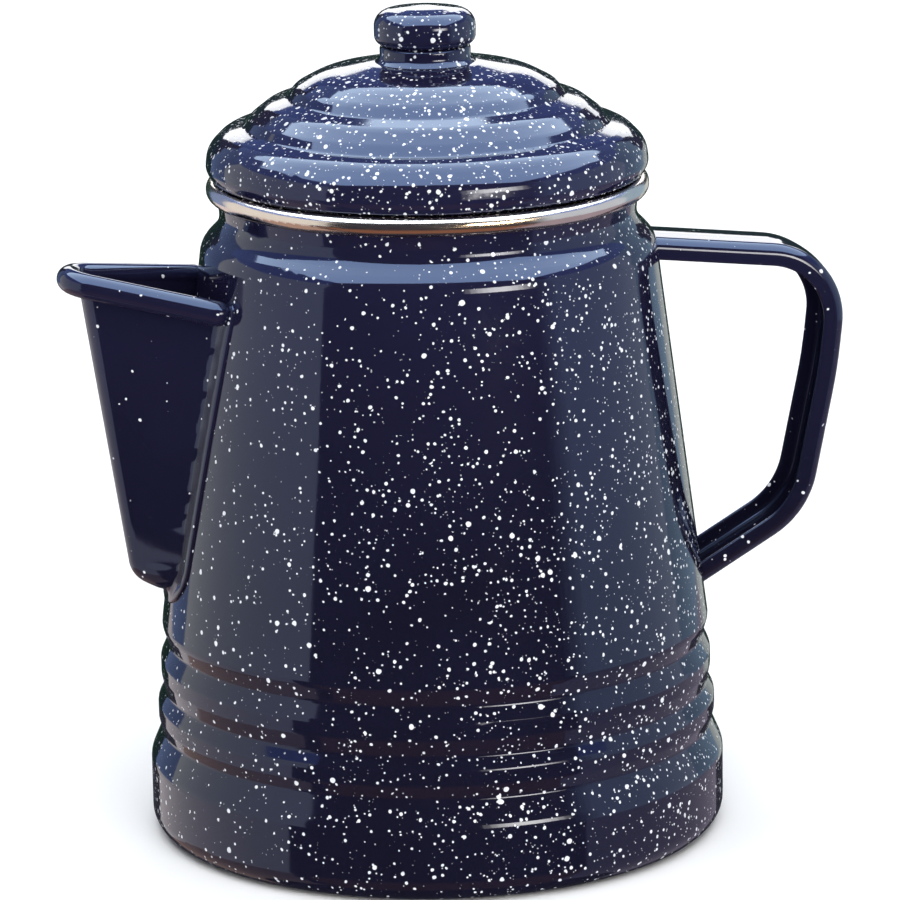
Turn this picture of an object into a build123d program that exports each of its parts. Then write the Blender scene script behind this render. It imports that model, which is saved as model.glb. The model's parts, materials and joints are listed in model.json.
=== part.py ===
from build123d import *
import os
from math import asin, atan2, cos, hypot, radians, sin, tan

# A stove-top coffee percolator in enamelled steel, in millimetres.
# +Z is up, +X points to the handle and -X to the spout.
# The origin is on the pot's axis, on the plane that the pot stands on.

SHEET = 1.0  # enamelled steel sheet
GAP = 0.4  # play between pieces that lift apart

# Pot body: outer radius and height of each feature, from the foot up.
FOOT_RADIUS = 82.5
FOOT_CORNER = 6.5
SKIRT_TOP = 21.5
PAN_RADIUS = 72.0
GROOVES = ((79.1, 29.5), (78.0, 41.2), (76.8, 55.3))
BANDS = ((80.1, 35.3), (79.0, 48.2))
BAND_HALF_HEIGHT = 2.2
GROOVE_FILLET = 1.6
BAND_FILLET = 2.8
CONE_AND_SHOULDER = (  # each corner's radius, height and fillet
    (78.4, 60.3, 4.2),
    (64.3, 171.0, 8.0),
    (58.6, 176.6, 6.0),
)
BODY_EDGE = (60.0, 188.2)

# Stainless band rolled over the body's upper edge.
RIM_INNER = 57.8
RIM_OUTER = 62.5
RIM_LOW = 183.3
RIM_HIGH = 189.0
RIM_FILLETS = (0.3, 2.7, 2.7, 1.0)

# Base pan: a shallow ring is pressed up into it for stiffness.
PAN_RING = (52.0, 54.0, 60.0, 62.0)
PAN_RING_RISE = 1.2
PAN_RING_FILLETS = (1.5, 1.2, 1.2, 1.5)

# Spout: its nose leans out as it rises and its sides spread apart.
SPOUT_LOW_Z = 78.0
SPOUT_LOW_NOSE = 87.3
SPOUT_LOW_FOOT = (74.0, 14.2)
SPOUT_HIGH_Z = 158.0
SPOUT_HIGH_NOSE = 98.9
SPOUT_HIGH_FOOT = (59.7, 24.0)
SPOUT_NOSE_RADII = (5.0, 7.0)
SPOUT_SECTIONS = (64.0, 175.0)
SPOUT_BACK = 12.0  # the walls run on this far inside the body and are then trimmed to it
SPOUT_FLOOR_Z = 77.4
SPOUT_FLOOR_SLOPE = 27.0
SPOUT_FLOOR_CORNER = 5.0
SPOUT_FLOOR_FILLET = 6.0
FLANGE_WIDTH = 3.6
FLANGE_RISE = 2.0  # the flange stops this far above the line of the floor
LIP_RADIUS = 3.6
LIP_INSET = 2.45
LIP_BACK_Z = 156.8
LIP_TIP_Z = 163.8
LIP_TIP_REACH = 102.3
STRAINER_HOLE = 2.0
STRAINER_PITCH = 8.0
STRAINER_ROWS = 7
STRAINER_LOW_Z = 92.0
STRAINER_DEPTH = 40.0

# Handle: a channel of strap bent to a loop, open towards the pot.
HANDLE_SHEET = 1.5
HANDLE_WIDTH = 22.0
HANDLE_DEPTH = 6.6
HANDLE_CROWN = 0.6
HANDLE_EDGE_FILLET = 2.6
HANDLE_CROWN_RADIUS = 40.0
HANDLE_ROUTE = ((58.0, 170.1), (121.4, 163.3), (117.6, 128.0), (108.9, 85.2), (70.0, 61.9))
HANDLE_BENDS = (23.0, 160.0, 27.0)

# Lid: three domed steps, from its turned-in edge up to the knob seat.
LID_EDGE = 59.3
LID_LOW = RIM_HIGH + GAP
LID_SEAT = 221.4
LID_OUTLINE = (
    (60.9, LID_LOW, 1.6),
    (62.5, 192.4, 4.0),
    (61.8, 197.6, 7.0),
    (57.4, 202.2, 7.0),
    (51.4, 203.8, 1.6),
    (49.4, 206.5, 4.0),
    (44.8, 210.1, 7.0),
    (39.2, 211.9, 1.6),
    (36.8, 214.9, 5.0),
    (29.6, 218.8, 22.0),
    (15.0, LID_SEAT, 18.0),
)
COLLAR_SHEET = 0.8
COLLAR_FILLET = 1.0
COLLAR_RADIUS = 57.0
COLLAR_FLANGE = 59.8
COLLAR_LOW = 178.0

# Knob: an enamelled cap on a short neck, held by a bolt from inside.
NECK_RADIUS = 12.8
NECK_FLARE = 14.2
NECK_FLARE_TOP = 222.8
NECK_FILLETS = (2.0, 1.2)
KNOB_RADIUS = 14.3
KNOB_LOW = 226.1
KNOB_SHOULDER = 235.5
KNOB_TOP = 236.6
KNOB_CROWN = 5.0
KNOB_FILLETS = (2.8, 4.6, 30.0)
BOLT_RADIUS = 2.0
BOLT_HEAD_RADIUS = 3.8
BOLT_HEAD_HEIGHT = 2.6
BOLT_HEAD_FILLET = 1.2
BOLT_POINT = 0.5
BOLT_SLOT_WIDTH = 1.0
BOLT_SLOT_DEPTH = 0.8
BOLT_TOP = 230.5
BOLT_HOLE = 2.7
WASHER_RADIUS = 7.0
WASHER_HOLE = 2.2
WASHER_HEIGHT = 1.0
NUT_FLATS = 7.0
NUT_HEIGHT = 3.2

# Pump: a riser tube on a bell that traps the boiling water.
ALUMINIUM_SHEET = 0.8
TUBE_RADIUS = 5.0
TUBE_BORE = 4.3
TUBE_LOW = 22.0
TUBE_TOP = 204.0
TUBE_EDGE = 0.25
BELL_LOW = SHEET + GAP
BELL_OUTLINE = (
    (38.0, 6.0, 2.5),
    (9.0, 18.0, 8.0),
    (TUBE_RADIUS + ALUMINIUM_SHEET, 23.0, 5.0),
)
BELL_RADIUS = 38.0
BELL_TOP = 34.0
BELL_NOTCHES = 3
BELL_NOTCH = (8.0, 3.0)
STOP_RADIUS = 7.6
STOP_HEIGHT = 3.0
STOP_TOP = 103.0
STOP_FILLET = 1.0

# Coffee basket: a drawn cup with a perforated floor and a sleeve round the tube.
BASKET_LOW = STOP_TOP + GAP
BASKET_TOP = 160.0
BASKET_RADIUS = 48.0
BASKET_RIM = 50.5
BASKET_CORNER = 5.0
BASKET_RIM_FILLET = 1.5
SLEEVE_BORE = TUBE_RADIUS + GAP
SLEEVE_RADIUS = SLEEVE_BORE + ALUMINIUM_SHEET
SLEEVE_FLANGE = 9.0
SLEEVE_TOP = 128.0
FLOOR_HOLE = 1.25
FLOOR_RINGS = ((14.0, 10), (21.0, 14), (28.0, 20), (35.0, 26), (41.0, 30))

# Spreader: a perforated lid that spreads the water over the coffee.
SPREADER_LOW = BASKET_TOP + GAP
SPREADER_RADIUS = 51.5
SPREADER_RIM = 5.0
SPREADER_DISH = (43.0, 46.0)
SPREADER_RISE = 1.0
SPREADER_FILLET = 1.5
SPREADER_HOLE = 1.25
SPREADER_RINGS = ((14.0, 8), (22.0, 12), (30.0, 18), (38.0, 24))


def turned(profile):
    """A solid turned about the pot's axis from a closed profile of radius and height."""
    return revolve(Plane.XZ * make_face(profile), Axis.Z)


def turned_sheet(outline, radii, thickness):
    """A turned sheet whose outer face is the outline; the sheet lies on the left of its direction."""
    line = FilletPolyline(*outline, radius=radii)
    return turned(offset(line, thickness, side=Side.LEFT))


def with_radii(corners):
    """Splits (radius, height, fillet) corners into points and fillets."""
    return [corner[:2] for corner in corners], [corner[2] for corner in corners]


def disc(radius, low, high):
    """A round bar on the pot's axis."""
    return Pos(0, 0, low) * extrude(Circle(radius), high - low)


def ring(outer, inner, low, high):
    """A plain ring on the pot's axis."""
    return disc(outer, low, high) - disc(inner, low, high)


def ring_of_holes(rings, radius, low, high):
    """Round holes on concentric rings, as one tool that runs from low to high."""
    tools = []
    for ring_radius, count in rings:
        for place in PolarLocations(ring_radius, count):
            tools.append(Pos(0, 0, low) * place * extrude(Circle(radius), high - low))
    return tools


def body_corners():
    """The body's outer outline as (radius, height, fillet) corners, from the foot to the neck."""
    corners = [(FOOT_RADIUS, 0, FOOT_CORNER), (FOOT_RADIUS, SKIRT_TOP, BAND_FILLET * 2)]
    for index, groove in enumerate(GROOVES):
        corners.append((*groove, GROOVE_FILLET))
        if index < len(BANDS):
            band_radius, band_z = BANDS[index]
            corners.append((band_radius, band_z - BAND_HALF_HEIGHT, BAND_FILLET))
            corners.append((band_radius, band_z + BAND_HALF_HEIGHT, BAND_FILLET))
    corners.extend(CONE_AND_SHOULDER)
    return corners


def body_line():
    """The body's outer outline, from the base pan's seam to the upper edge."""
    points, radii = with_radii(body_corners())
    return FilletPolyline((PAN_RADIUS, 0), *points, BODY_EDGE, radius=radii)


def body_envelope(extra=0):
    """Everything inside the body's outer surface, grown by extra."""
    line = body_line() if extra == 0 else offset(body_line(), extra, side=Side.RIGHT, closed=False)
    start = line @ 0
    end = line @ 1
    if start.Y > end.Y:
        start, end = end, start
    closing = Polyline((end.X, end.Y), (0, end.Y), (0, start.Y), (start.X, start.Y))
    return turned(line + closing)


def strainer_holes():
    """Radial holes through the body wall behind the spout, in staggered rows."""
    tools = []
    for row in range(STRAINER_ROWS):
        height = STRAINER_LOW_Z + row * STRAINER_PITCH
        offsets = (-1, 0, 1) if row % 2 == 0 else (-0.5, 0.5)
        for step in offsets:
            plane = Plane(origin=(-SPOUT_HIGH_NOSE, step * STRAINER_PITCH, height), z_dir=(1, 0, 0))
            tools.append(extrude(plane * Circle(STRAINER_HOLE), STRAINER_DEPTH))
    return tools


def make_pot_body():
    line = body_line()
    shell = turned(offset(line, SHEET, side=Side.LEFT))
    for tool in strainer_holes():
        shell -= tool
    return shell


def make_base_pan():
    ring_in, crest_in, crest_out, ring_out = PAN_RING
    points = (
        (0, 0),
        (ring_in, 0),
        (crest_in, PAN_RING_RISE),
        (crest_out, PAN_RING_RISE),
        (ring_out, 0),
        (PAN_RADIUS, 0),
    )
    return turned_sheet(points, PAN_RING_FILLETS, SHEET)


def make_rim_band(body):
    corners = ((RIM_INNER, RIM_LOW), (RIM_OUTER, RIM_LOW), (RIM_OUTER, RIM_HIGH), (RIM_INNER, RIM_HIGH))
    bead = turned(FilletPolyline(*corners, radius=RIM_FILLETS, close=True))
    return bead - body


def spout_walls(height, inset):
    """Plan of the spout's walls at a height: (back x, back y, apex x, nose fillet).

    Two straight sides touch a round nose. inset moves them inwards, or outwards if it is negative.
    """
    share = (height - SPOUT_LOW_Z) / (SPOUT_HIGH_Z - SPOUT_LOW_Z)
    nose = SPOUT_LOW_NOSE + share * (SPOUT_HIGH_NOSE - SPOUT_LOW_NOSE)
    nose_radius = SPOUT_NOSE_RADII[0] + share * (SPOUT_NOSE_RADII[1] - SPOUT_NOSE_RADII[0])
    foot_x = SPOUT_LOW_FOOT[0] + share * (SPOUT_HIGH_FOOT[0] - SPOUT_LOW_FOOT[0])
    foot_y = SPOUT_LOW_FOOT[1] + share * (SPOUT_HIGH_FOOT[1] - SPOUT_LOW_FOOT[1])
    centre = nose - nose_radius
    reach = hypot(centre - foot_x, foot_y)
    lean = atan2(foot_y, centre - foot_x) - asin(nose_radius / reach)
    rounding = nose_radius - inset
    apex = centre + rounding / sin(lean)
    back_x = foot_x - SPOUT_BACK
    return back_x, (apex - back_x) * tan(lean), apex, rounding


def spout_section(height, inset):
    """A level section through the spout."""
    back_x, back_y, apex, rounding = spout_walls(height, inset)
    corners = ((-back_x, back_y), (-apex, 0), (-back_x, -back_y))
    outline = FilletPolyline(*corners, radius=[0, rounding, 0], close=True)
    return Pos(0, 0, height) * make_face(outline)


def lip_height(reach):
    """Height of the lip's centre line at a distance from the pot's axis."""
    rise = (LIP_TIP_Z - LIP_BACK_Z) / (LIP_TIP_REACH - SPOUT_HIGH_FOOT[0])
    return LIP_BACK_Z + rise * (reach - SPOUT_HIGH_FOOT[0])


def is_floor_edge(edge):
    """True for the edges where the spout's sloping floor meets its sides."""
    box = edge.bounding_box()
    low = box.max.Z < SPOUT_LOW_Z + SPOUT_FLOOR_FILLET
    outside = box.max.X < -SPOUT_HIGH_FOOT[0]
    slanting = min(box.size.X, box.size.Y) > 1
    return low and outside and slanting and box.size.X > SPOUT_FLOOR_CORNER


def spout_mass(inset, floor_inset):
    """The spout as a solid wedge with a sloping floor, its mouth cut along the lip.

    inset moves the walls inwards and floor_inset lifts the floor.
    """
    sections = [spout_section(height, inset) for height in SPOUT_SECTIONS]
    wedge = loft(sections, ruled=True)
    floor_rise = tan(radians(SPOUT_FLOOR_SLOPE))
    corner_x = SPOUT_LOW_NOSE - inset
    corner_z = SPOUT_FLOOR_Z + floor_inset / cos(radians(SPOUT_FLOOR_SLOPE))
    lean = (SPOUT_HIGH_NOSE - SPOUT_LOW_NOSE) / (SPOUT_HIGH_Z - SPOUT_LOW_Z)
    tip_x = corner_x + lean * (LIP_TIP_Z - corner_z)
    root_x = SPOUT_HIGH_FOOT[0] - 2 * SPOUT_BACK
    corners = (
        (-root_x, corner_z - floor_rise * (corner_x - root_x)),
        (-corner_x, corner_z),
        (-tip_x - SPOUT_BACK, lip_height(tip_x + SPOUT_BACK)),
        (-root_x, lip_height(root_x)),
    )
    side = FilletPolyline(*corners, radius=[0, SPOUT_FLOOR_CORNER - inset, 0, 0], close=True)
    mass = wedge & extrude(Plane.XZ * make_face(side), 2 * SPOUT_HIGH_FOOT[1], both=True)
    return fillet([edge for edge in mass.edges() if is_floor_edge(edge)], SPOUT_FLOOR_FILLET - inset)


def spout_lip():
    """The rolled bead round the spout's mouth."""
    back_x, back_y, apex, rounding = spout_walls(LIP_TIP_Z, -LIP_INSET)
    slope = atan2(lip_height(apex) - lip_height(back_x), apex - back_x)
    start = Vector(-back_x, 0, lip_height(back_x))
    forward = Vector(-cos(slope), 0, sin(slope))
    level = Plane(origin=start, x_dir=forward, z_dir=forward.cross(Vector(0, 1, 0)))
    length = (apex - back_x) / cos(slope)
    route = level * FilletPolyline((0, back_y), (length, 0), (0, -back_y), radius=rounding)
    return sweep(Plane(origin=route @ 0, z_dir=route % 0) * Circle(LIP_RADIUS), path=route)


def make_spout(envelope):
    flange = spout_mass(-FLANGE_WIDTH, FLANGE_RISE) & body_envelope(SHEET)
    sheet = spout_mass(0, 0) + flange + spout_lip()
    return sheet - spout_mass(SHEET, SHEET) - envelope


def handle_section(place):
    """The handle's channel section, square to its route, with its edges rounded over."""
    half = (HANDLE_WIDTH - HANDLE_SHEET) / 2
    top = -HANDLE_SHEET / 2
    edge = HANDLE_SHEET / 2 - HANDLE_DEPTH
    points = ((-half, edge), (-half, top - HANDLE_CROWN), (0, top), (half, top - HANDLE_CROWN), (half, edge))
    radii = [HANDLE_EDGE_FILLET, HANDLE_CROWN_RADIUS, HANDLE_EDGE_FILLET]
    line = FilletPolyline(*points, radius=radii)
    return place * make_face(offset(line, HANDLE_SHEET / 2, side=Side.BOTH))


def make_handle(envelope):
    route = Plane.XZ * FilletPolyline(*HANDLE_ROUTE, radius=HANDLE_BENDS)
    place = Plane(origin=route @ 0, x_dir=(0, 1, 0), z_dir=route % 0)
    return sweep(handle_section(place), path=route) - envelope


def make_lid_dome():
    points, radii = with_radii(LID_OUTLINE)
    return turned_sheet(((LID_EDGE, LID_LOW), *points, (BOLT_HOLE, LID_SEAT)), radii, SHEET)


def make_lid_collar():
    seam = LID_LOW + SHEET
    points = ((COLLAR_RADIUS, COLLAR_LOW), (COLLAR_RADIUS, seam), (COLLAR_FLANGE, seam))
    return turned_sheet(points, [COLLAR_FILLET], COLLAR_SHEET)


def make_knob_neck():
    points = (
        (NECK_FLARE, LID_SEAT),
        (NECK_RADIUS, NECK_FLARE_TOP),
        (NECK_RADIUS, KNOB_LOW),
        (BOLT_HOLE, KNOB_LOW),
    )
    neck = turned_sheet(points, NECK_FILLETS, SHEET)
    return neck - disc(NECK_FLARE + SHEET, LID_SEAT - SHEET, LID_SEAT)


def make_knob_cap():
    points = (
        (NECK_RADIUS - 2 * SHEET, KNOB_LOW),
        (KNOB_RADIUS, KNOB_LOW),
        (KNOB_RADIUS, KNOB_SHOULDER),
        (KNOB_CROWN, KNOB_TOP),
        (0, KNOB_TOP),
    )
    return turned_sheet(points, KNOB_FILLETS, SHEET)


def make_knob_washer():
    top = LID_SEAT - SHEET
    return ring(WASHER_RADIUS, WASHER_HOLE, top - WASHER_HEIGHT, top)


def make_knob_bolt():
    seat = LID_SEAT - SHEET - WASHER_HEIGHT
    head = disc(BOLT_HEAD_RADIUS, seat - BOLT_HEAD_HEIGHT, seat)
    head = fillet(head.edges().sort_by(Axis.Z)[0], BOLT_HEAD_FILLET)
    slot = Box(2 * BOLT_HEAD_RADIUS, BOLT_SLOT_WIDTH, 2 * BOLT_SLOT_DEPTH)
    slot = Pos(0, 0, seat - BOLT_HEAD_HEIGHT) * slot
    shank = disc(BOLT_RADIUS, seat, BOLT_TOP)
    shank = chamfer(shank.edges().sort_by(Axis.Z)[-1], BOLT_POINT)
    return head - slot + shank


def make_knob_nut():
    hexagon = RegularPolygon(NUT_FLATS / 2, 6, major_radius=False)
    blank = Pos(0, 0, KNOB_LOW) * extrude(hexagon, NUT_HEIGHT)
    return blank - disc(BOLT_RADIUS, KNOB_LOW, KNOB_LOW + NUT_HEIGHT)


def make_pump_tube():
    tube = ring(TUBE_RADIUS, TUBE_BORE, TUBE_LOW, TUBE_TOP)
    return fillet(tube.edges().sort_by(Axis.Z)[-2:], TUBE_EDGE)


def make_pump_base():
    points, radii = with_radii(BELL_OUTLINE)
    top = (TUBE_RADIUS + ALUMINIUM_SHEET, BELL_TOP)
    bell = turned_sheet(((BELL_RADIUS, BELL_LOW), *points, top), radii, ALUMINIUM_SHEET)
    width, height = BELL_NOTCH
    for place in PolarLocations(BELL_RADIUS, BELL_NOTCHES):
        bell -= Pos(0, 0, BELL_LOW) * place * Box(width, width, 2 * height)
    return bell


def make_basket_stop():
    collar = ring(STOP_RADIUS, TUBE_RADIUS, STOP_TOP - STOP_HEIGHT, STOP_TOP)
    outer = collar.edges().filter_by(GeomType.CIRCLE).sort_by(lambda edge: edge.radius)[-2:]
    return fillet(outer, STOP_FILLET)


def make_basket_cup():
    points = (
        (SLEEVE_RADIUS, BASKET_LOW),
        (BASKET_RADIUS, BASKET_LOW),
        (BASKET_RADIUS, BASKET_TOP - ALUMINIUM_SHEET),
        (BASKET_RIM, BASKET_TOP - ALUMINIUM_SHEET),
    )
    cup = turned_sheet(points, [BASKET_CORNER, BASKET_RIM_FILLET], ALUMINIUM_SHEET)
    cup -= ring_of_holes(FLOOR_RINGS, FLOOR_HOLE, STOP_TOP, BASKET_LOW + 2 * ALUMINIUM_SHEET)
    return cup


def make_basket_sleeve():
    floor_top = BASKET_LOW + ALUMINIUM_SHEET
    sleeve = ring(SLEEVE_RADIUS, SLEEVE_BORE, BASKET_LOW, SLEEVE_TOP)
    flange = ring(SLEEVE_FLANGE, SLEEVE_BORE, floor_top, floor_top + ALUMINIUM_SHEET)
    return sleeve + flange


def make_spreader_plate():
    top = SPREADER_LOW + SPREADER_RIM
    points = (
        (SLEEVE_BORE, SPREADER_LOW + SPREADER_RISE),
        (SPREADER_DISH[0], SPREADER_LOW + SPREADER_RISE),
        (SPREADER_DISH[1], SPREADER_LOW),
        (SPREADER_RADIUS, SPREADER_LOW),
        (SPREADER_RADIUS, top),
    )
    plate = turned_sheet(points, [SPREADER_FILLET] * 3, ALUMINIUM_SHEET)
    plate -= ring_of_holes(SPREADER_RINGS, SPREADER_HOLE, SPREADER_LOW, top)
    return plate


def main():
    os.makedirs("parts", exist_ok=True)
    body = make_pot_body()
    envelope = body_envelope()
    pieces = {
        "pot_body": body,
        "base_pan": make_base_pan(),
        "rim_band": make_rim_band(body),
        "spout": make_spout(envelope),
        "handle": make_handle(envelope),
        "lid_dome": make_lid_dome(),
        "lid_collar": make_lid_collar(),
        "knob_neck": make_knob_neck(),
        "knob_cap": make_knob_cap(),
        "knob_washer": make_knob_washer(),
        "knob_bolt": make_knob_bolt(),
        "knob_nut": make_knob_nut(),
        "pump_tube": make_pump_tube(),
        "pump_base": make_pump_base(),
        "basket_stop": make_basket_stop(),
        "basket_cup": make_basket_cup(),
        "basket_sleeve": make_basket_sleeve(),
        "spreader_plate": make_spreader_plate(),
    }
    for name, piece in pieces.items():
        export_step(piece, f"parts/{name}.step")
        print(name, round(piece.volume), [round(x, 1) for x in piece.bounding_box().size])


main()
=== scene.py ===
import json
from math import asin, atan2, ceil, cos, hypot, pi, radians, sin, sqrt, tan

import bmesh
import bpy
from mathutils import Matrix, Vector


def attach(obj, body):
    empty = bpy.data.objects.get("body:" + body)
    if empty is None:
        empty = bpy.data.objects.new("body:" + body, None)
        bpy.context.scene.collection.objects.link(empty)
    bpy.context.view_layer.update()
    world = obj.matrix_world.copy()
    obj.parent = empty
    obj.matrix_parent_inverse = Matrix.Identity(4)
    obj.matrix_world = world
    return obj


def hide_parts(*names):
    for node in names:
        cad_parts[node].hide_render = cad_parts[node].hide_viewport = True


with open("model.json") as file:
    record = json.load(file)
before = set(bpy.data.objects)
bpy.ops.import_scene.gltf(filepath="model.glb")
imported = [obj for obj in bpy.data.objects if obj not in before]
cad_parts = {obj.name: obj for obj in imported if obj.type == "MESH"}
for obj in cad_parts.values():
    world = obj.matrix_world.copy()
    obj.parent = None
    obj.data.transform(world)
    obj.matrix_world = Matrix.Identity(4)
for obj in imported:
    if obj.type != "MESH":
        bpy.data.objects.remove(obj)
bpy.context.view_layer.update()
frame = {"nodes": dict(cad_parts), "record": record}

# Lengths in this file are in millimetres; MM turns them into the frame's metres.
MM = 0.001
ARC_STEP = radians(7.5)  # steps along a fillet
SHARP = radians(40)  # edges that turn by more than this stay sharp
MERGE = 1e-6  # points nearer to each other than this, in metres, become one

# ---------------------------------------------------------------- mesh helpers


def filleted(start, corner, end, radius):
    """A dense line from start to end whose one corner is rounded."""
    to_start = (start - corner).normalized()
    to_end = (end - corner).normalized()
    half = to_start.angle(to_end) / 2
    reach = radius / tan(half)
    centre = corner + (to_start + to_end).normalized() * (radius / sin(half))
    first = corner + to_start * reach - centre
    turn = first.angle_signed(corner + to_end * reach - centre)
    steps = max(2, ceil(abs(turn) / ARC_STEP))
    line = [start]
    for step in range(steps + 1):
        line.append(centre + Matrix.Rotation(-turn * step / steps, 2) @ first)
    return line + [end]


def add_object(name, data):
    """A new object in the scene, from a mesh, a light or a camera."""
    made = bpy.data.objects.new(name, data)
    bpy.context.scene.collection.objects.link(made)
    return made


def mesh_from(name, points, faces):
    """A smooth piece from points in millimetres, its faces turned outwards."""
    mesh = bpy.data.meshes.new(name)
    mesh.from_pydata([Vector(point) * MM for point in points], [], faces)
    cleaned = bmesh.new()
    cleaned.from_mesh(mesh)
    bmesh.ops.remove_doubles(cleaned, verts=cleaned.verts, dist=MERGE)
    bmesh.ops.recalc_face_normals(cleaned, faces=cleaned.faces)
    cleaned.to_mesh(mesh)
    cleaned.free()
    mesh.validate()
    mesh.polygons.foreach_set("use_smooth", [True] * len(mesh.polygons))
    mesh.set_sharp_from_angle(angle=SHARP)
    return add_object(name, mesh)


def stands_for(piece, body, slot, material, *nodes):
    """Gives a new piece its body and material, and hides the CAD nodes it stands for; slot is
    not used.
    """
    piece.data.materials.clear()
    piece.data.materials.append(material)
    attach(piece, body)
    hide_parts(*nodes)


# ---------------------------------------------------------------- spout

SHEET = 1.0
CONE_LOW = (78.4, 60.3)  # radius and height at the foot of the body's cone
CONE_HIGH = (64.3, 171.0)
CONE_TILT = atan2(CONE_LOW[0] - CONE_HIGH[0], CONE_HIGH[1] - CONE_LOW[1])
SEAM_LOW = 72.4  # lowest point of the spout's seam
SEAM_TURN = 84.5  # the seam's round bottom runs into its straight legs here
SEAM_TOP = 157.4
SEAM_HALF = (14.9, 24.0)  # half the width between the legs, at their lower and upper ends
SEAM_STEP = 0.002  # step along the seam, from 0 to 1, that finds its direction
NOSE_FOOT = (87.3, 77.4)  # reach and height of the corner between the floor and the nose
NOSE_LEAN = 0.145
NOSE_TOP = 163.8
NOSE_CORNER = 7.5
NOSE_RADII = (5.0, 7.0)  # at the nose's lower and upper ends
NOSE_SHARE = 0.45  # the nose's radius is at most this share of a section's length
FLOOR_SLOPE = radians(27)
ROUND_SHARE = 0.22  # share of the levels that go to the round bottom
POINT_SIZE = 0.05  # a section smaller than this is drawn as a point
COVE = 2.0  # reach of the cove of enamel between the spout and the flange
COVE_STEPS = 6
SLOW_WAVE = (0.13, 41)  # height and pace of the cove's unevenness along the seam
QUICK_WAVE = (0.09, 97)
FLANGE = 4.4
FLANGE_LIFT = 0.8
FLANGE_NARROWER = 0.28  # share by which the flange is narrower under the spout
FLANGE_OVER = 1.035  # the flange runs on a little above the lip's end
FLANGE_FADE = 0.028  # its round end takes up this much of the seam
FLANGE_THIN = 0.05  # its ends keep at least this share of its lift
FLANGE_STEPS = 102
FLANGE_EDGE = (  # the flange's section, as shares of its width and of its lift
    (0.2, -0.2), (0.2, 1.0), (0.75, 1.0), (0.9, 0.86), (0.97, 0.55), (1.0, 0.1), (1.0, -0.2),
)
LIP_RADIUS = 3.55
LIP_OUT = 2.37  # the bead's middle is this far outside the wall
LIP_STOP = 0.62  # the bead ends when its middle is this many radii from the body
LIP_AROUND = 32
LIP_CAPS = 7
LIP_TIP = 1e-4  # the outermost ring of a round end, as a share of the radius
LEVELS = 96
SIDE_STEPS = 18
NOSE_STEPS = 12


def cone_radius(height):
    share = (height - CONE_LOW[1]) / (CONE_HIGH[1] - CONE_LOW[1])
    return CONE_LOW[0] + share * (CONE_HIGH[0] - CONE_LOW[0])


def cone_normal(point):
    flat = Vector((point.x, point.y, 0)).normalized()
    return flat * cos(CONE_TILT) + Vector((0, 0, sin(CONE_TILT)))


def over_cone(point, lift):
    """The point moved straight out or in until it is lift above the cone."""
    radius = cone_radius(point.z) + lift / cos(CONE_TILT)
    flat = Vector((point.x, point.y, 0)).normalized() * radius
    return Vector((flat.x, flat.y, point.z))


def seam(t):
    """Where the spout's far wall meets the cone, from the round bottom at 0 to the top at 1."""
    if t < ROUND_SHARE:
        turn = pi / 2 * t / ROUND_SHARE
        side = SEAM_HALF[0] * sin(turn)
        height = SEAM_TURN - (SEAM_TURN - SEAM_LOW) * cos(turn)
    else:
        share = (t - ROUND_SHARE) / (1 - ROUND_SHARE)
        side = SEAM_HALF[0] + share * (SEAM_HALF[1] - SEAM_HALF[0])
        height = SEAM_TURN + share * (SEAM_TOP - SEAM_TURN)
    radius = cone_radius(height)
    return Vector((-sqrt(radius ** 2 - side ** 2), side, height))


def seam_frame(t):
    """A point of the seam and the direction over the cone that leads away from the spout."""
    point = seam(t)
    along = (seam(t + SEAM_STEP) - seam(t)).normalized()
    return point, cone_normal(point).cross(along).normalized()


def nose_line():
    """The spout's edge in the plane of symmetry, as (reach, height), from cove to lip."""
    reach = -seam(0).x + COVE * cos(FLOOR_SLOPE)
    top = NOSE_FOOT[0] + NOSE_LEAN * (NOSE_TOP - NOSE_FOOT[1])
    low = NOSE_FOOT[1] - (NOSE_FOOT[0] - reach) * tan(FLOOR_SLOPE)
    start, end = Vector((reach, low)), Vector((top, NOSE_TOP))
    return filleted(start, Vector(NOSE_FOOT), end, NOSE_CORNER)


def along_line(line, share):
    """The point a share of the way along a line."""
    lengths = [(b - a).length for a, b in zip(line, line[1:])]
    left = share * sum(lengths)
    for start, end, length in zip(line, line[1:], lengths):
        if left <= length:
            return start.lerp(end, left / length)
        left -= length
    return line[-1]


def nose(line, t):
    """The nose's point for a level; the round bottom's levels share the floor and its corner."""
    total = sum((b - a).length for a, b in zip(line, line[1:]))
    upper = (NOSE_TOP - SEAM_TURN) * hypot(1, NOSE_LEAN)
    lower_share = 1 - upper / total
    if t < ROUND_SHARE:
        share = lower_share * t / ROUND_SHARE
    else:
        share = lower_share + (1 - lower_share) * (t - ROUND_SHARE) / (1 - ROUND_SHARE)
    point = along_line(line, share)
    return Vector((-point.x, 0, point.y))


def half_section(length, half, radius, roundness):
    """Half a section, from the wall's foot (0, half) to the nose (length, 0)."""
    radius = min(radius, NOSE_SHARE * length)
    centre = length - radius
    lean = atan2(half, centre) - asin(radius / hypot(centre, half))
    foot = Vector((0, half))
    touch = Vector((centre + radius * sin(lean), radius * cos(lean)))
    points = [foot.lerp(touch, step / SIDE_STEPS) for step in range(SIDE_STEPS)]
    for step in range(NOSE_STEPS + 1):
        angle = (pi / 2 - lean) * (1 - step / NOSE_STEPS)
        points.append(Vector((centre + radius * cos(angle), radius * sin(angle))))
    total = sum((b - a).length for a, b in zip(points, points[1:]))
    run = 0.0
    blended = []
    for index, point in enumerate(points):
        if index:
            run += (point - points[index - 1]).length
        angle = pi / 2 * run / total
        oval = Vector((length * sin(angle), half * cos(angle)))
        blended.append(point.lerp(oval, roundness))
    return blended


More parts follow.
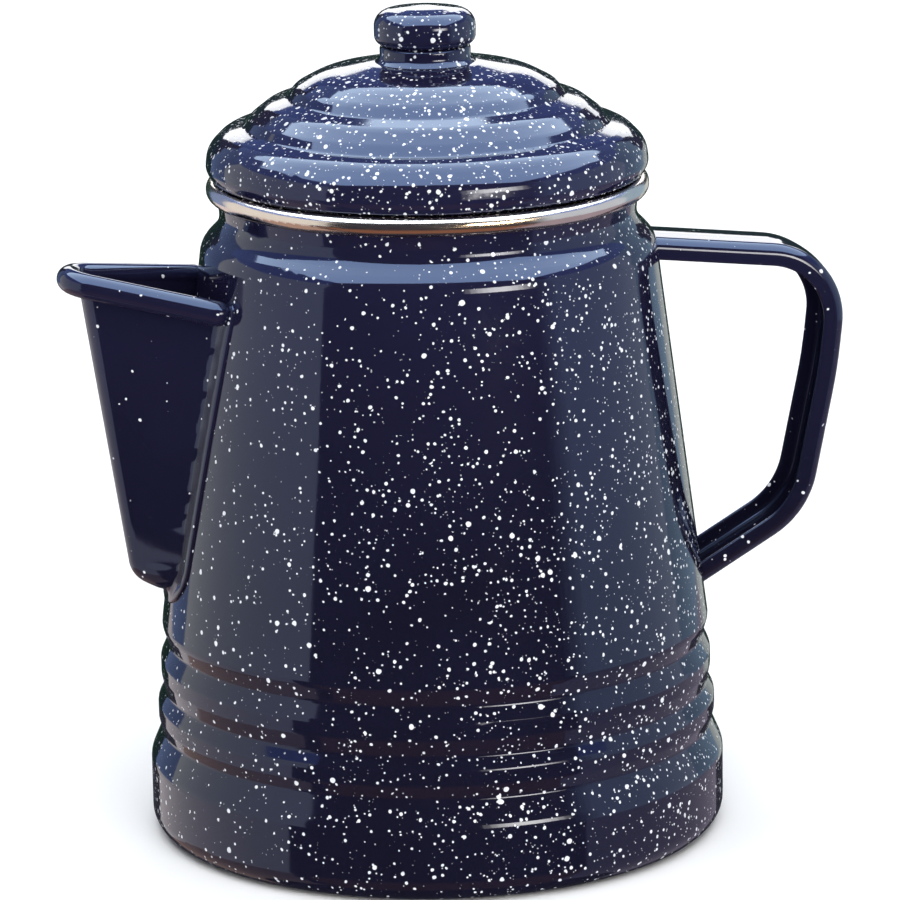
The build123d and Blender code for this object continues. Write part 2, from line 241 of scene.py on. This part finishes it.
def spout_level(line, t):
    """One section of the spout, from the flange on one side, over the cove to the nose."""
    point, away = seam_frame(t)
    turn = min(t / ROUND_SHARE, 1) * pi / 2
    roundness = cos(turn) ** 2
    tip = nose(line, t)
    share = (point.z - SEAM_TURN) / (SEAM_TOP - SEAM_TURN)
    radius = NOSE_RADII[0] + max(share, 0) * (NOSE_RADII[1] - NOSE_RADII[0])
    reach = -tip.x + point.x
    lean = atan2(point.y, max(reach - radius, 1))
    side_way = Vector((-cos(lean), -sin(lean), 0))
    floor_way = Vector((-cos(FLOOR_SLOPE), 0, sin(FLOOR_SLOPE)))
    way = side_way.lerp(floor_way, roundness).normalized()
    wave = 1 + SLOW_WAVE[0] * sin(SLOW_WAVE[1] * t) + QUICK_WAVE[0] * sin(QUICK_WAVE[1] * t + 1)
    foot = point + way * COVE * wave
    rest = over_cone(point + away * COVE * wave, FLANGE_LIFT)
    corner = over_cone(point, FLANGE_LIFT)
    cove = []
    for step in range(COVE_STEPS + 1):
        k = step / COVE_STEPS
        cove.append(rest * (1 - k) ** 2 + corner * 2 * k * (1 - k) + foot * k ** 2)
    middle = Vector((foot.x, 0, foot.z))
    length = (tip - middle).length
    if length < POINT_SIZE or foot.y < POINT_SIZE:
        return cove + [foot] * (SIDE_STEPS + NOSE_STEPS)
    forward = (tip - middle).normalized()
    section = half_section(length, foot.y, radius, roundness)
    return cove + [middle + forward * p.x + Vector((0, p.y, 0)) for p in section[1:]]


def mirrored(points):
    return [Vector((p.x, -p.y, p.z)) for p in points]


def both_sides(half):
    """A half that ends in the plane of symmetry, and its mirror image after it."""
    return half + mirrored(half[:-1])[::-1]


def grid_faces(rows, columns, first=0, closed=False):
    faces = []
    for row in range(rows - 1):
        for column in range(columns if closed else columns - 1):
            here = first + row * columns + column
            after = first + row * columns + (column + 1) % columns
            faces.append((here, after, after + columns, here + columns))
    return faces


def solidified(name, points, faces, thickness):
    """Points and faces of a sheet given its thickness on the inner side."""
    sheet = mesh_from(name, points, faces)
    thicken = sheet.modifiers.new("sheet", "SOLIDIFY")
    thicken.thickness = thickness * MM
    thicken.offset = -1
    thicken.use_even_offset = False
    evaluated = sheet.evaluated_get(bpy.context.evaluated_depsgraph_get())
    mesh = evaluated.to_mesh()
    found = [v.co / MM for v in mesh.vertices], [tuple(p.vertices) for p in mesh.polygons]
    evaluated.to_mesh_clear()
    bpy.data.objects.remove(sheet)
    return found


def flange_strip():
    """The flat flange that lies on the body round the spout's foot."""
    points = []
    for side in (list, mirrored):
        for step in range(FLANGE_STEPS + 1):
            t = FLANGE_OVER * step / FLANGE_STEPS
            point, away = seam_frame(t)
            fade = min(1.0, (FLANGE_OVER - t) / FLANGE_FADE)
            end = sqrt(1 - (1 - fade) ** 2)
            wide = FLANGE * (1 - FLANGE_NARROWER * cos(min(t / ROUND_SHARE, 1) * pi / 2))
            middle = COVE / 2 + wide / 3
            row = []
            for reach, lift in FLANGE_EDGE:
                distance = middle + (reach * wide - middle) * end
                lifted = lift * FLANGE_LIFT * max(end, FLANGE_THIN)
                row.append(over_cone(point + away * distance, lifted))
            points += side(row)
    rows, columns = FLANGE_STEPS + 1, len(FLANGE_EDGE)
    return points, grid_faces(rows, columns) + grid_faces(rows, columns, rows * columns)


def lip_bead(line):
    """The rolled lip: a bead round the mouth whose two ends are round and touch the body."""
    path = both_sides(spout_level(line, 1.0)[COVE_STEPS + 1:])
    up = (path[0] - path[-1]).cross(path[len(path) // 2] - path[0]).normalized()
    if up.z < 0:
        up = -up
    outline = []
    for index, point in enumerate(path):
        along = (path[min(index + 1, len(path) - 1)] - path[max(index - 1, 0)]).normalized()
        outline.append(point + up.cross(along).normalized() * -LIP_OUT)
    first = outline[0] + (outline[0] - outline[1]).normalized() * COVE
    last = outline[-1] + (outline[-1] - outline[-2]).normalized() * COVE
    outline = [first] + outline + [last]
    clear = LIP_RADIUS * LIP_STOP
    outline = [p for p in outline if hypot(p.x, p.y) > cone_radius(p.z) + clear]
    points = []

    def ring(centre, along, radius):
        side = up.cross(along).normalized()
        over = along.cross(side).normalized()
        for step in range(LIP_AROUND):
            angle = 2 * pi * step / LIP_AROUND
            points.append(centre + (side * cos(angle) + over * sin(angle)) * radius)

    def cap_ring(end, along, angle):
        """One ring of a round end; the outermost shrinks to almost a point."""
        share = max(cos(angle), LIP_TIP)
        ring(end + along * sin(angle) * LIP_RADIUS, along, share * LIP_RADIUS)

    along = (outline[1] - outline[0]).normalized()
    for cap in range(LIP_CAPS):
        cap_ring(outline[0], along, -pi / 2 * (1 - cap / LIP_CAPS))
    for index, point in enumerate(outline):
        before = outline[max(index - 1, 0)]
        after = outline[min(index + 1, len(outline) - 1)]
        ring(point, (after - before).normalized(), LIP_RADIUS)
    along = (outline[-1] - outline[-2]).normalized()
    for cap in range(1, LIP_CAPS + 1):
        cap_ring(outline[-1], along, pi / 2 * cap / LIP_CAPS)
    return points, grid_faces(len(points) // LIP_AROUND, LIP_AROUND, closed=True)


def build_spout():
    """The spout's sheet with its cove, its flange and its rolled lip, as one mesh."""
    line = nose_line()
    rows = [both_sides(spout_level(line, step / LEVELS)) for step in range(LEVELS + 1)]
    points = [p for row in rows for p in row]
    faces = grid_faces(len(rows), len(rows[0]))
    points, faces = solidified("spout_sheet", points, faces, SHEET)
    for more_points, more_faces in (flange_strip(), lip_bead(line)):
        first = len(points)
        points = points + more_points
        faces = faces + [tuple(index + first for index in face) for face in more_faces]
    return mesh_from("spout_shell", points, faces)


# ---------------------------------------------------------------- material helpers


class Nodes:
    """A node material, built by short calls."""

    def __init__(self, name):
        self.material = bpy.data.materials.new(name)
        self.material.use_nodes = True
        self.tree = self.material.node_tree
        self.shader = self.tree.nodes["Principled BSDF"]
        self.place = self.add("ShaderNodeTexCoord").outputs["Object"]

    def add(self, kind, **settings):
        node = self.tree.nodes.new(kind)
        for key, value in settings.items():
            setattr(node, key, value)
        return node

    def feed(self, socket, value):
        """Links another node's output to the socket, or sets the socket's own value."""
        if isinstance(value, bpy.types.NodeSocket):
            self.tree.links.new(value, socket)
        else:
            socket.default_value = value

    def set(self, **values):
        """Sets shader sockets: spaces in their names are written as underscores."""
        for key, value in values.items():
            self.feed(self.shader.inputs[key.replace("_", " ")], value)

    def math(self, operation, a, b=0.0, clamp=False):
        node = self.add("ShaderNodeMath", operation=operation, use_clamp=clamp)
        self.feed(node.inputs[0], a)
        self.feed(node.inputs[1], b)
        return node.outputs[0]

    def vector(self, operation, a, b):
        """Vector maths; for SCALE, b is a number."""
        node = self.add("ShaderNodeVectorMath", operation=operation)
        self.feed(node.inputs[0], a)
        self.feed(node.inputs["Scale" if operation == "SCALE" else 1], b)
        return node.outputs[0]

    def axes(self, vector):
        """The X, Y and Z outputs of a vector that is split up."""
        split = self.add("ShaderNodeSeparateXYZ")
        self.feed(split.inputs[0], vector)
        return split.outputs

    def noise(self, size, detail=2.0, roughness=0.5, place=None, output="Fac"):
        """Noise whose features are about size millimetres across."""
        node = self.add("ShaderNodeTexNoise")
        self.feed(node.inputs["Vector"], place or self.place)
        node.inputs["Scale"].default_value = 1 / (size * MM)
        node.inputs["Detail"].default_value = detail
        node.inputs["Roughness"].default_value = roughness
        return node.outputs[output]

    def spread(self, value, source, target):
        """Maps a value from the source range to the target range, and no further."""
        node = self.add("ShaderNodeMapRange", clamp=True)
        self.feed(node.inputs["Value"], value)
        node.inputs["From Min"].default_value, node.inputs["From Max"].default_value = source
        node.inputs["To Min"].default_value, node.inputs["To Max"].default_value = target
        return node.outputs["Result"]

    def mix(self, share, first, second):
        """A mix of two colours."""
        node = self.add("ShaderNodeMix", data_type="RGBA")
        self.feed(node.inputs["Factor"], share)
        self.feed(node.inputs["A"], first)
        self.feed(node.inputs["B"], second)
        return node.outputs["Result"]

    def bump(self, height, depth, strength, normal=None):
        """Bump from a height of 0 to 1 that is depth millimetres deep."""
        node = self.add("ShaderNodeBump")
        node.inputs["Distance"].default_value = depth * MM
        node.inputs["Strength"].default_value = strength
        self.feed(node.inputs["Height"], height)
        if normal:
            self.feed(node.inputs["Normal"], normal)
        return node.outputs["Normal"]


NOISE_RANGE = (0.3, 0.7)  # most of a noise texture's values lie in this range

# ---------------------------------------------------------------- materials

SPECK_EDGE = 0.12  # width of a speck's soft edge
SPECK_POWER = 2.5  # the higher this is, the more specks are near the smaller size
SPECK_WOBBLE = 0.55  # how far the specks' outlines wander from round
FINE_STRENGTH = 0.55  # the finest specks are only partly opaque
NAVY_SHADED_FOOT = (0.0060, 0.0056, 0.0150, 1)  # the enamel's colour near the foot, darkened by painted shade
NAVY_HIGH = (0.0112, 0.0108, 0.0340, 1)  # and from the rim upwards, where the painted shade has faded
SPECK_GREY = (0.66, 0.70, 0.76, 1)
SPECK_WHITE = (0.92, 0.93, 0.94, 1)
ENAMEL_TINT = (0.57, 0.68, 1.0, 1)  # the enamel's reflections are bluish
ENAMEL_IOR = 1.54


def specks(nodes, cell, low, high, share, density, place):
    """White specks: one to a cell of a Voronoi pattern, low to high millimetres in radius."""
    pattern = nodes.add("ShaderNodeTexVoronoi")
    nodes.feed(pattern.inputs["Vector"], place)
    pattern.inputs["Scale"].default_value = 1 / (cell * MM)
    chance = nodes.add("ShaderNodeSeparateColor")
    nodes.feed(chance.inputs["Color"], pattern.outputs["Color"])
    size = nodes.math("POWER", chance.outputs["Green"], SPECK_POWER)
    radius = nodes.spread(size, (0.0, 1.0), (low / cell, high / cell))
    limit = nodes.math("MULTIPLY", density, share)
    kept = nodes.math("LESS_THAN", chance.outputs["Red"], limit)
    drawn = nodes.math("MULTIPLY", radius, kept)
    inside = nodes.math("SUBTRACT", drawn, pattern.outputs["Distance"])
    return nodes.math("MULTIPLY", inside, cell / SPECK_EDGE, clamp=True)


def speck_density(nodes, split):
    """Specks come in clusters, thin out towards the spout and are dense on the lid."""
    clusters = nodes.spread(nodes.noise(26, detail=1.5), (0.30, 0.66), (0.45, 1.0))
    flurries = nodes.spread(nodes.noise(7, detail=1.0), (0.34, 0.60), (0.30, 1.0))
    sideways = nodes.spread(split["X"], (-60 * MM, 50 * MM), (0.65, 1.5))
    upwards = nodes.spread(split["Z"], (40 * MM, 150 * MM), (1.0, 0.8))
    lid = nodes.spread(split["Z"], (178 * MM, 190 * MM), (0.0, 2.0))
    slant = nodes.math("MAXIMUM", nodes.math("MULTIPLY", sideways, upwards), lid)
    return nodes.math("MULTIPLY", nodes.math("MULTIPLY", clusters, flurries), slant)


def enamel(name, amount=1.0):
    """Glossy fired navy enamel with white specks and painted shade that darkens it towards the
    foot; amount scales how many specks there are.
    """
    nodes = Nodes(name)
    split = nodes.axes(nodes.place)
    wobble = nodes.vector("SUBTRACT", nodes.noise(1.5, output="Color"), (0.5, 0.5, 0.5))
    wander = nodes.vector("SCALE", wobble, SPECK_WOBBLE * MM)
    place = nodes.vector("ADD", nodes.place, wander)
    spot = {"density": speck_density(nodes, split), "place": place}
    fine = specks(nodes, cell=1.25, low=0.12, high=0.30, share=0.8 * amount, **spot)
    small = specks(nodes, cell=1.8, low=0.29, high=0.60, share=1.45 * amount, **spot)
    large = specks(nodes, cell=3.6, low=0.42, high=0.92, share=1.1 * amount, **spot)
    faint = nodes.math("MULTIPLY", fine, FINE_STRENGTH)
    mask = nodes.math("MAXIMUM", nodes.math("MAXIMUM", faint, small), large)
    # painted shade: the navy is darkest at the foot and lightens upwards
    foot_shade_fade = nodes.spread(split["Z"], (85 * MM, 185 * MM), (0.0, 0.8))
    cloud = nodes.spread(nodes.noise(38), NOISE_RANGE, (0.0, 0.2))
    navy = nodes.mix(nodes.math("ADD", foot_shade_fade, cloud, clamp=True), NAVY_SHADED_FOOT, NAVY_HIGH)
    cream = nodes.mix(nodes.noise(2.5), SPECK_GREY, SPECK_WHITE)
    gloss = nodes.spread(nodes.noise(9, detail=3.0), NOISE_RANGE, (0.04, 0.09))
    nodes.set(Base_Color=nodes.mix(mask, navy, cream), Roughness=gloss)
    nodes.set(IOR=ENAMEL_IOR, Specular_Tint=ENAMEL_TINT)
    ripple = nodes.bump(nodes.noise(26, detail=1.0), depth=0.10, strength=0.7)
    peel = nodes.bump(nodes.noise(2.2, detail=1.5), depth=0.008, strength=0.6, normal=ripple)
    nodes.set(Normal=nodes.bump(mask, depth=0.04, strength=0.5, normal=peel))
    return nodes.material


def metal(nodes, dark, light, stain):
    """Makes it a metal whose colour varies from dark to light with its stains."""
    nodes.set(Base_Color=nodes.mix(stain, (*dark, 1), (*light, 1)), Metallic=1.0)


def marked(nodes, marks, roughness, depth, strength):
    """Finishes a metal with marks that vary its roughness and its surface."""
    nodes.set(Roughness=nodes.spread(marks, NOISE_RANGE, roughness))
    nodes.set(Normal=nodes.bump(marks, depth, strength))
    return nodes.material


def polished_steel(name):
    """Rolled stainless strip: polished, with fine lines round the band."""
    nodes = Nodes(name)
    stretch = nodes.vector("MULTIPLY", nodes.place, (0.05, 0.05, 1.0))
    lines = nodes.noise(0.18, place=stretch)
    stain = nodes.noise(11, detail=3.0)
    metal(nodes, (0.60, 0.52, 0.46), (0.72, 0.63, 0.56), stain)
    return marked(nodes, lines, roughness=(0.10, 0.24), depth=0.012, strength=0.4)


def spun_aluminium(name):
    """Satin spun aluminium with turning marks and light staining."""
    nodes = Nodes(name)
    flat = nodes.vector("MULTIPLY", nodes.place, (1.0, 1.0, 0.0))
    length = nodes.add("ShaderNodeVectorMath", operation="LENGTH")
    nodes.feed(length.inputs[0], flat)
    rings = nodes.add("ShaderNodeCombineXYZ")
    nodes.feed(rings.inputs["X"], length.outputs["Value"])
    nodes.feed(rings.inputs["Z"], nodes.axes(nodes.place)["Z"])
    marks = nodes.noise(0.35, detail=3.0, place=rings.outputs[0])
    stain = nodes.noise(14, detail=4.0, roughness=0.65)
    metal(nodes, (0.50, 0.50, 0.51), (0.66, 0.66, 0.67), stain)
    return marked(nodes, marks, roughness=(0.26, 0.42), depth=0.02, strength=0.5)


def plated_steel(name):
    """Zinc plate on a small fastener, slightly mottled."""
    nodes = Nodes(name)
    mottle = nodes.noise(1.8, detail=3.0)
    metal(nodes, (0.46, 0.46, 0.45), (0.66, 0.66, 0.64), mottle)
    return marked(nodes, mottle, roughness=(0.28, 0.45), depth=0.01, strength=0.5)


def pale_floor(name):
    """Plain pale floor."""
    nodes = Nodes(name)
    colour = nodes.mix(nodes.noise(400), (0.92, 0.92, 0.915, 1), (0.94, 0.94, 0.935, 1))
    nodes.set(Base_Color=colour, Roughness=0.9)
    return nodes.material


# ---------------------------------------------------------------- studio

VIEW_AZIMUTH = radians(-10)  # the spout is turned a little towards the camera
CAMERA_REACH = 1500.0
CAMERA_HEIGHT = 487.3
CAMERA_PITCH = radians(-14.17)
CAMERA_ROLL = radians(0.95)
CAMERA_YAW = radians(0.195)
CAMERA_LENS = 216.8
SENSOR_WIDTH = 36.0
CLIP = (0.05, 50.0)  # nearest and farthest distance seen, in metres

FLOOR_HALF = 9000
MIDDLE = Vector((0, 0, 120))  # the cards' azimuths and elevations are seen from here
CARD_REACH = 2600.0  # distance of the cards round the set
CARD_STEPS = 20
SKY_HEIGHT = 1500
SKY_CORNERS = ((-1600, -1480), (1750, -1480), (1750, 1300), (-1600, 1300))
SKY_COLOUR = (4.6, 5.6, 6.6)
DIM_BLUE = (0.05, 0.05, 0.065, 1)  # what the world sheds on the set
WHITE = (1, 1, 1, 1)  # and what the camera sees of it

# The lower and upper edges of cards, in degrees above the level of MIDDLE.
WALL = (-13, 27)
TABLE = (-28, -13)
SKY = (27, 48)
# The colours of the pale wall and of the sky beyond it.
PALE_WALL = (0.75, 0.87, 1.03)
BLUE_SKY = (0.28, 0.41, 0.9)
# The window in front is a row of narrow cards, and so is the right wall's soft edge.
WINDOW_STRIPS = 12
WINDOW_COLOUR = (23, 19, 13)
EDGE_STRIPS = 4


def towards(azimuth, elevation=0.0):
    """Unit vector at an angle from the camera's side of the pot; positive is on the right."""
    angle = VIEW_AZIMUTH + azimuth
    return Vector((sin(angle) * cos(elevation), -cos(angle) * cos(elevation), sin(elevation)))


def add_camera():
    camera = add_object("camera", bpy.data.cameras.new("camera"))
    camera.data.lens = CAMERA_LENS
    camera.data.sensor_width = SENSOR_WIDTH
    camera.data.clip_start, camera.data.clip_end = CLIP
    place = towards(0.0) * CAMERA_REACH
    camera.location = (Vector((place.x, place.y, CAMERA_HEIGHT))) * MM
    heading = Matrix.Rotation(VIEW_AZIMUTH - CAMERA_YAW, 3, "Z")
    pitch = Matrix.Rotation(radians(90) + CAMERA_PITCH, 3, "X")
    roll = Matrix.Rotation(-CAMERA_ROLL, 3, "Z")
    camera.rotation_euler = (heading @ pitch @ roll).to_euler()
    bpy.context.scene.camera = camera


def soft_sun(name, azimuth, elevation, strength, spread):
    """A wide soft light that reaches everything evenly and doesn't show in gloss."""
    lamp = add_object(name, bpy.data.lights.new(name, "SUN"))
    lamp.data.energy = strength
    lamp.data.angle = radians(spread)
    direction = towards(radians(azimuth), radians(elevation))
    lamp.rotation_euler = direction.to_track_quat("Z", "Y").to_euler()
    lamp.visible_glossy = False


def glow(name, colour):
    """A material that gives off light of a colour whose parts may be above 1."""
    material = bpy.data.materials.new(name)
    material.use_nodes = True
    tree = material.node_tree
    tree.nodes.clear()
    emission = tree.nodes.new("ShaderNodeEmission")
    strength = max(colour)
    emission.inputs["Color"].default_value = (*[part / strength for part in colour], 1)
    emission.inputs["Strength"].default_value = strength
    output = tree.nodes.new("ShaderNodeOutputMaterial")
    tree.links.new(emission.outputs[0], output.inputs["Surface"])
    return material


def stage_card(name, points, faces, colour):
    """A card that only shows in the gloss of the pot."""
    piece = mesh_from(name, points, faces)
    piece.data.materials.append(glow(name, colour))
    piece.visible_camera = False
    piece.visible_diffuse = False
    piece.visible_transmission = False
    piece.visible_shadow = False


def card(name, left, right, low, high, colour):
    """A curved card between two azimuths and two elevations, in degrees, seen from MIDDLE."""
    points = []
    for step in range(CARD_STEPS + 1):
        azimuth = radians(left + (right - left) * step / CARD_STEPS)
        for edge in (low, high):
            points.append(MIDDLE + towards(azimuth, radians(edge)) * CARD_REACH)
    faces = [(2 * s, 2 * s + 2, 2 * s + 3, 2 * s + 1) for s in range(CARD_STEPS)]
    stage_card(name, points, faces, colour)


def strips(name, left, width, edges, colour, shares):
    """Narrow cards side by side, each with its own share of the colour."""
    for step, share in enumerate(shares):
        start = left + width * step
        card(f"{name}_{step}", start, start + width, *edges, [part * share for part in colour])


def add_floor():
    half = FLOOR_HALF
    points = [(-half, -half, 0), (half, -half, 0), (half, half, 0), (-half, half, 0)]
    floor = mesh_from("floor", points, [(0, 1, 2, 3)])
    floor.data.materials.append(pale_floor("pale_floor"))
    floor.visible_glossy = False


def add_world():
    """A dim world behind a backdrop that is white to the camera only."""
    world = bpy.data.worlds.new("studio")
    world.use_nodes = True
    tree = world.node_tree
    backdrop = tree.nodes.new("ShaderNodeMix")
    backdrop.data_type = "RGBA"
    backdrop.inputs["A"].default_value = DIM_BLUE
    backdrop.inputs["B"].default_value = WHITE
    seen = tree.nodes.new("ShaderNodeLightPath").outputs["Is Camera Ray"]
    tree.links.new(seen, backdrop.inputs["Factor"])
    tree.links.new(backdrop.outputs["Result"], tree.nodes["Background"].inputs["Color"])
    bpy.context.scene.world = world


def add_cards():
    """The room that the pot's gloss mirrors."""
    right = towards(radians(90))
    front = towards(0.0)
    up = Vector((0, 0, SKY_HEIGHT))
    points = [MIDDLE + right * x + front * y + up for x, y in SKY_CORNERS]
    stage_card("sky_panel", points, [(0, 1, 2, 3)], SKY_COLOUR)
    card("left_wall", -128, -52.5, *WALL, (1.09, 1.09, 1.05))
    card("left_far", -150, -128, *WALL, (0.25, 0.35, 0.62))
    card("left_table", -150, -61, *TABLE, (1.02, 0.93, 0.93))
    card("left_ground", -150, -62, -55, -28, (0.58, 0.40, 0.34))
    card("left_sky", -160, -54, *SKY, BLUE_SKY)
    shares = [(step + 1) / (EDGE_STRIPS + 1) for step in range(EDGE_STRIPS)]
    strips("right_edge", 54, 2.5, WALL, PALE_WALL, shares)
    card("right_wall", 64, 122, *WALL, PALE_WALL)
    card("right_far", 122, 150, *WALL, (0.40, 0.58, 0.75))
    card("right_ground", 60, 150, -55, -13, (0.47, 0.41, 0.50))
    card("right_sky", 64, 153, *SKY, BLUE_SKY)
    card("front_ground", -54, 60, -60, -24, (0.30, 0.14, 0.09))
    card("back_sky", 153, 200, 21, 50, (0.14, 0.22, 0.6))
    card("back_window", 157, 198, 11.5, 21, (3.4, 3.4, 3.4))
    card("back_low", 162, 210, -18, 11.5, (0.02, 0.045, 0.03))
    card("back_right", 150, 162, -18, 2, (0.75, 0.8, 0.77))
    shares = [sin(pi * (step + 0.5) / WINDOW_STRIPS) for step in range(WINDOW_STRIPS)]
    strips("front_window", 17, 3, (5, 19.5), WINDOW_COLOUR, shares)


# ---------------------------------------------------------------- the object

add_camera()
add_floor()
add_world()
soft_sun("overhead", azimuth=0, elevation=88, strength=3.1, spread=80)
soft_sun("front", azimuth=12, elevation=24, strength=2.0, spread=60)
add_cards()
bpy.context.scene.view_settings.view_transform = "Standard"

SPARSE = 0.13  # the spout and the handle have far fewer specks than the body
by_slot = {
    "enamel": enamel("navy_enamel"),
    "stainless_rim": polished_steel("polished_steel"),
    "aluminium": spun_aluminium("spun_aluminium"),
    "fastener_steel": plated_steel("plated_steel"),
}
for row in frame["record"]["subparts"]:
    node = frame["nodes"][row["node"]]
    node.data.materials.clear()
    node.data.materials.append(by_slot[row["material_slot"]])
sparse_navy = enamel("sparse_navy_enamel", SPARSE)
stands_for(build_spout(), "pot", "enamel", sparse_navy, "spout")
frame["nodes"]["handle"].data.materials[0] = sparse_navy
